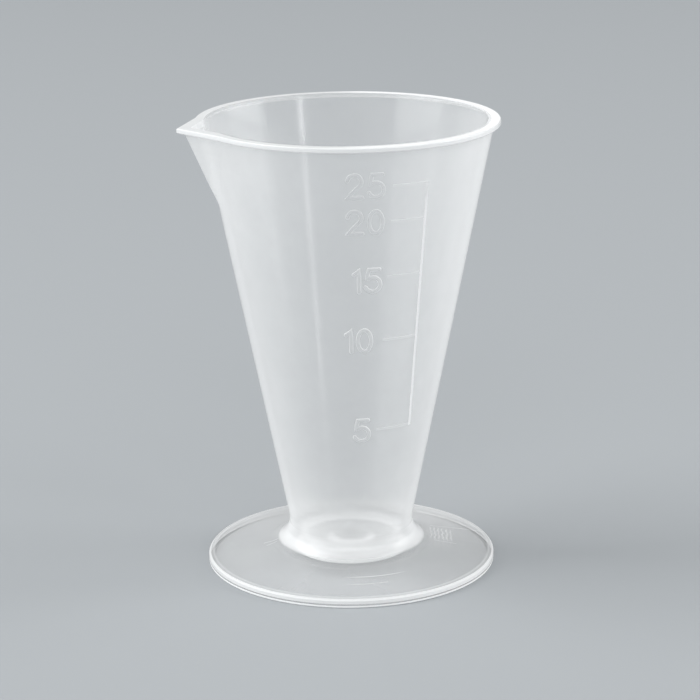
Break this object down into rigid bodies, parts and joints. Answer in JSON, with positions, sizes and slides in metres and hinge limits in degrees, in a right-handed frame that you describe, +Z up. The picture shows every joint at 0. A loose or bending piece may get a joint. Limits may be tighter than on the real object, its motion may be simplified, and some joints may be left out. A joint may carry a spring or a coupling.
{
  "type": "measuring cup",
  "caption": "Small conical medicine measuring cup in translucent plastic, with a pouring beak, a raised millilitre scale and a wide hollow foot.",
  "frame": {"origin": "on the cup's axis, in the plane that the foot stands on", "axes": "+Z up along the cup's axis, -Y towards the viewer who reads the scale, the beak pointing to -X and 15.5 degrees towards -Y"},
  "size_m": [0.0421, 0.0402, 0.0609],
  "materials": {
    "translucent_plastic": "natural milky polypropylene, lightly polished, translucent"
  },
  "bodies": {
    "root": {"measuring_cup": "translucent_plastic"}
  },
  "joints": []
}
